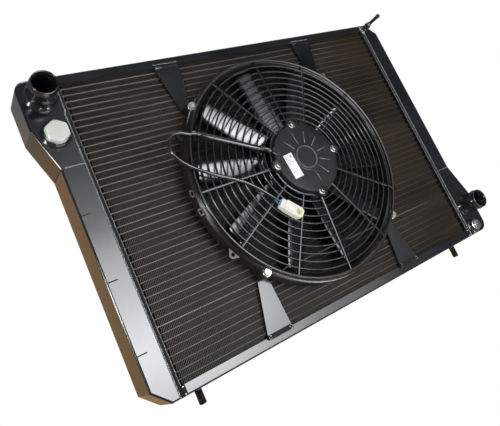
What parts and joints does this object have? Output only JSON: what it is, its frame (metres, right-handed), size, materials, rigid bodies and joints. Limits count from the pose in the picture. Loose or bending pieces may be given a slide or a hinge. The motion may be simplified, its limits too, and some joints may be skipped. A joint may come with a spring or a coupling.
{
  "type": "car radiator with electric fan",
  "caption": "Flat cross-flow radiator: finned tube core, folded side tanks with hose spigots, and a guarded electric cooling fan strapped across its face.",
  "frame": {"origin": "centre of the rigid part in X and Y, on the plane its back lies on (Z = 0)", "axes": "+X along the tubes towards the outlet spigot, +Y up the radiator as fitted in a car, +Z out of the core along the fan shaft"},
  "size_m": [0.7212, 0.493, 0.1045],
  "materials": {
    "black_paint": "satin black paint",
    "core_metal": "dull",
    "fin_metal": "dark oxidised",
    "weld_metal": "painted weld bead",
    "zinc": "zinc plated",
    "dark_steel": "dark plated",
    "black_plastic": "satin",
    "blade_plastic": "glossy",
    "copper": "bare",
    "label_white": "matt",
    "lead_jacket": "satin",
    "wire_blue": "satin",
    "connector_cream": "satin",
    "seal_yellow": "matt"
  },
  "bodies": {
    "radiator": {"bearing_front": "zinc", "bearing_rear": "zinc", "cable_gland": "black_plastic", "cable_tie_inner": "black_plastic", "cable_tie_outer": "black_plastic", "connector_housing": "connector_cream", "connector_seal": "seal_yellow", "core_tubes": "core_metal", "cover_screw_1": "zinc", "cover_screw_2": "zinc", "cover_screw_3": "zinc", "cover_screw_4": "zinc", "fan_bolt_bl": "zinc", "fan_bolt_br": "zinc", "fan_bolt_tl": "zinc", "fan_bolt_tr": "zinc", "fan_guard": "black_plastic", "fan_shroud": "black_plastic", "fan_strap_bl": "black_paint", "fan_strap_br": "black_paint", "fan_strap_tl": "black_paint", "fan_strap_tr": "black_paint", "filler_boss": "black_paint", "filler_plug": "zinc", "fin_pack": "fin_metal", "inlet_neck": "black_paint", "lead_wire_a": "wire_blue", "lead_wire_b": "wire_blue", "locating_pin_left": "dark_steel", "locating_pin_right": "dark_steel", "lower_boss": "black_paint", "lower_plug": "zinc", "motor_cover": "black_plastic", "motor_housing": "black_plastic", "motor_label": "label_white", "motor_lead": "lead_jacket", "outlet_neck": "black_paint", "side_channel_bottom": "black_paint", "side_channel_top": "black_paint", "strap_pad_bl": "black_plastic", "strap_pad_br": "black_plastic", "strap_pad_tl": "black_plastic", "strap_pad_tr": "black_plastic", "tank_left_narrow": "black_paint", "tank_left_wide": "black_paint", "tank_right_narrow": "black_paint", "tank_right_wide": "black_paint", "tap_body": "dark_steel", "weld_left": "weld_metal", "weld_right": "weld_metal"},
    "rotor": {"impeller": "blade_plastic", "impeller_nut": "dark_steel", "motor_shaft": "zinc", "motor_armature": "copper"},
    "lever": {"tap_lever": "black_plastic", "tap_screw": "zinc"}
  },
  "joints": [
    {"name": "fan_spin", "type": "hinge", "parent": "radiator", "child": "rotor", "pos_m": [-0.00192, 0.00389, 0.068], "axis": [0, 0, 1], "continuous": true},
    {"name": "tap_turn", "type": "hinge", "parent": "radiator", "child": "lever", "pos_m": [0.31758, 0.22639, 0.0662], "axis": [0, 0, 1], "range_deg": [0, 90]}
  ]
}
